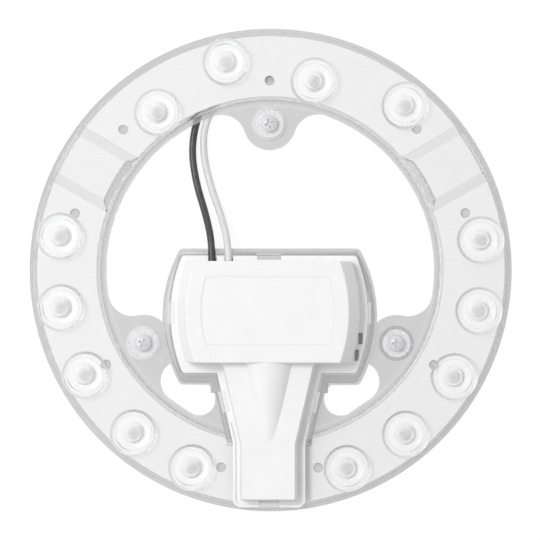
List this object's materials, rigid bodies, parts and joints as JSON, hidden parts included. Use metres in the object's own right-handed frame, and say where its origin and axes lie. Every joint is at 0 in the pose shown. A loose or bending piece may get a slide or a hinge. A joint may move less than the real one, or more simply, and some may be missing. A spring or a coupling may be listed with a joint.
{
  "type": "led module",
  "caption": "Ring-shaped retrofit LED module for a ceiling lamp: white LED board under a clear lens moulding, central driver in a white cover, magnet feet and two mains leads.",
  "frame": {"origin": "centre of the ring, in the plane of the three magnets' faces", "axes": "+Z the way the light goes, away from the lamp base; the driver's neck crosses the ring towards -Y, and the leads leave the driver towards +Y"},
  "size_m": [0.18, 0.18, 0.024],
  "materials": {
    "clear_plastic": "glossy clear polycarbonate",
    "board": "aluminium board, white lacquer on the front",
    "led": "white package with a phosphor window",
    "white_plastic": "fine matt white moulding",
    "circuit_board": "green lacquered laminate",
    "brown_coat": "dipped coating",
    "blue_coat": "dipped coating",
    "ferrite": "sintered ferrite",
    "winding": "taped copper winding",
    "black_body": "moulded package",
    "capacitor_sleeve": "shrunk sleeve on an aluminium can",
    "tinned_wire": "tinned copper",
    "plated_steel": "nickel plate",
    "magnet": "sintered magnet, plated",
    "screw": "zinc plate",
    "black_lead": "glossy PVC insulation",
    "white_lead": "glossy PVC insulation"
  },
  "bodies": {
    "root": {"lens_housing": "clear_plastic", "led_board": "board", "led_01": "led", "led_02": "led", "led_03": "led", "led_04": "led", "led_05": "led", "led_06": "led", "led_07": "led", "led_08": "led", "led_09": "led", "led_10": "led", "led_11": "led", "led_12": "led", "led_13": "led", "led_14": "led", "driver_cover": "white_plastic", "driver_board": "circuit_board", "fuse_resistor": "brown_coat", "varistor": "blue_coat", "input_choke": "ferrite", "bridge_rectifier": "black_body", "input_capacitor": "capacitor_sleeve", "transformer_core": "ferrite", "transformer_coil": "winding", "driver_chip": "black_body", "output_diode": "black_body", "output_capacitor": "capacitor_sleeve", "output_links": "tinned_wire", "magnet_screws": "screw", "lead_black": "black_lead", "lead_white": "white_lead", "lead_tips": "tinned_wire", "magnet_cup_top": "plated_steel", "magnet_top": "magnet", "magnet_cup_left": "plated_steel", "magnet_left": "magnet", "magnet_cup_right": "plated_steel", "magnet_right": "magnet"}
  },
  "joints": []
}
